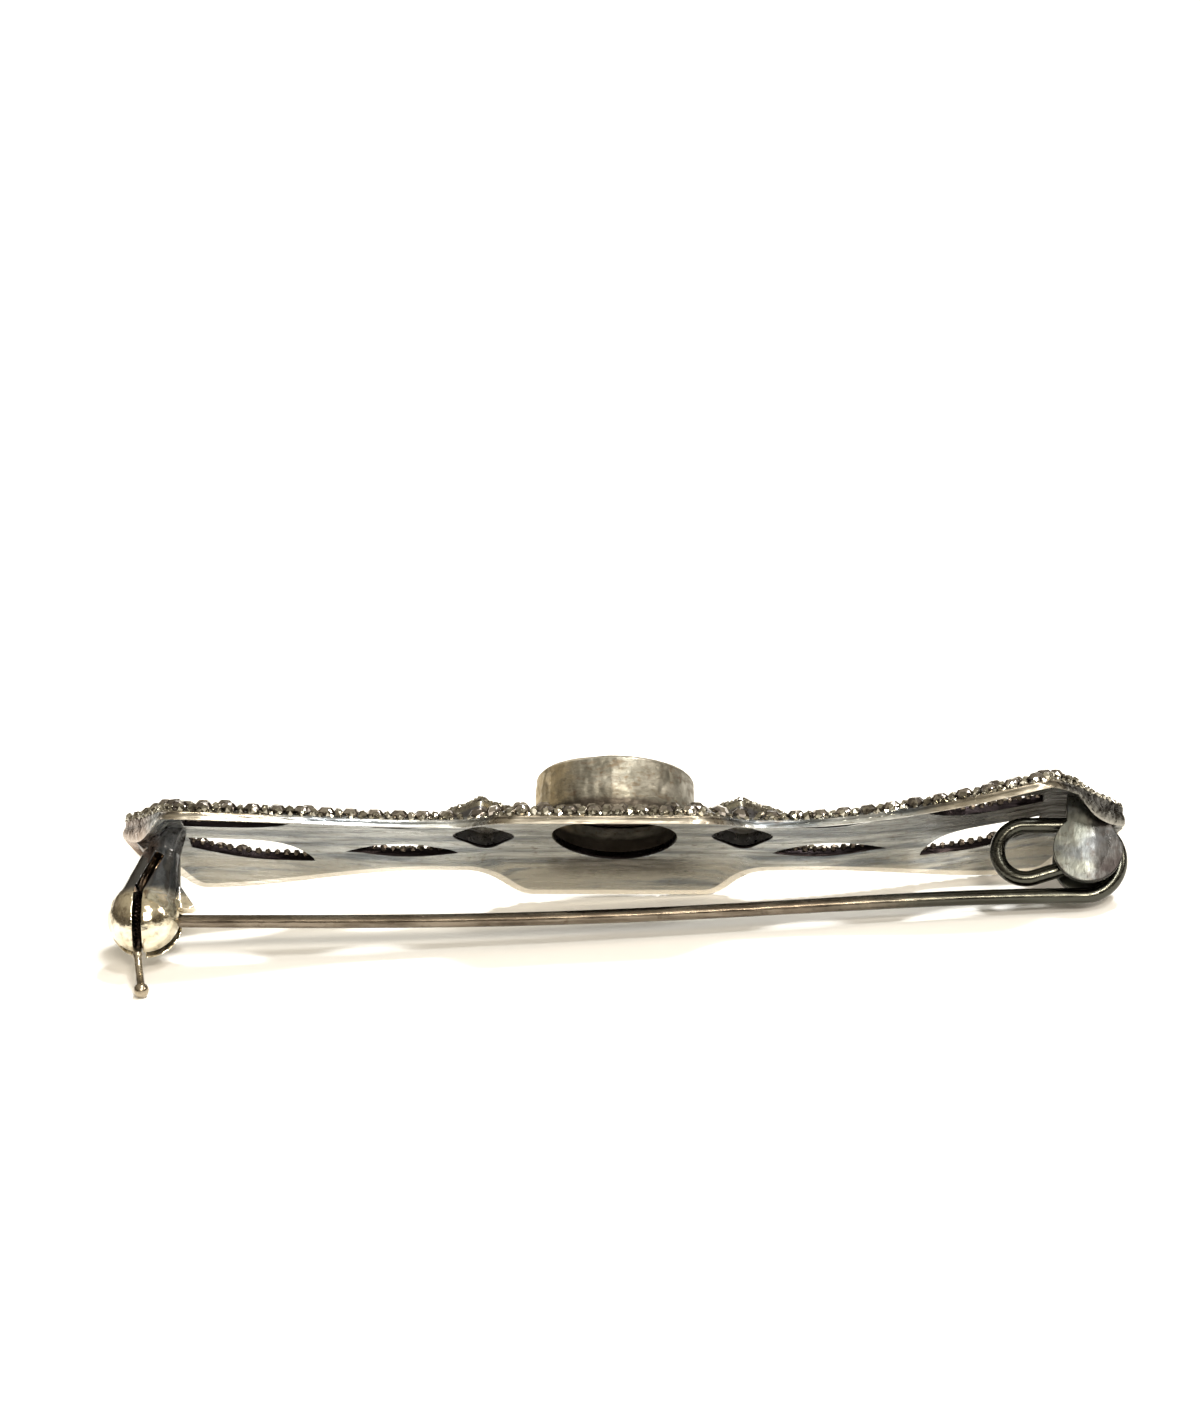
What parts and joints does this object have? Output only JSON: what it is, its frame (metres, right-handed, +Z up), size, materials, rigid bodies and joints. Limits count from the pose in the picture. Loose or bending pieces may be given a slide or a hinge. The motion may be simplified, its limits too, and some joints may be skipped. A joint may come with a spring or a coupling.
{
  "type": "mother of pearl brooch",
  "caption": "Openwork silver bar brooch with a round mother of pearl stone, marcasites, a hinged pin and a turning safety catch, lying on its back.",
  "frame": {"origin": "centre of the bounding box at its base, on the surface that the brooch lies on", "axes": "+Z up from that surface, X along the bar with the catch at -X and the hinge at +X, -Y towards the lower edge that shows the pin"},
  "size_m": [0.0558, 0.0128, 0.0105],
  "materials": {
    "silver": "tarnished silver, brushed on the back",
    "mother_of_pearl": "polished, with a pearly sheen",
    "marcasite": "cut and polished, with a metallic shine",
    "catch_metal": "worn silver",
    "pin_metal": "drawn wire with a brown tarnish"
  },
  "bodies": {
    "brooch": {"silver_frame": "silver", "mother_of_pearl": "mother_of_pearl", "marcasites": "marcasite"},
    "catch": {"catch_rotor": "catch_metal"},
    "pin": {"pin_stem": "pin_metal"}
  },
  "joints": [
    {"name": "catch_lever", "type": "hinge", "parent": "brooch", "child": "catch", "pos_m": [-0.02612, -0.00201, 0.00307], "axis": [0.998, 0, -0.063], "range_deg": [0, 100]},
    {"name": "pin_hinge", "type": "hinge", "parent": "brooch", "child": "pin", "pos_m": [0.02572, 0.00024, 0.00286], "axis": [0.0374, -0.8042, 0.5932], "range_deg": [0, 75]}
  ]
}
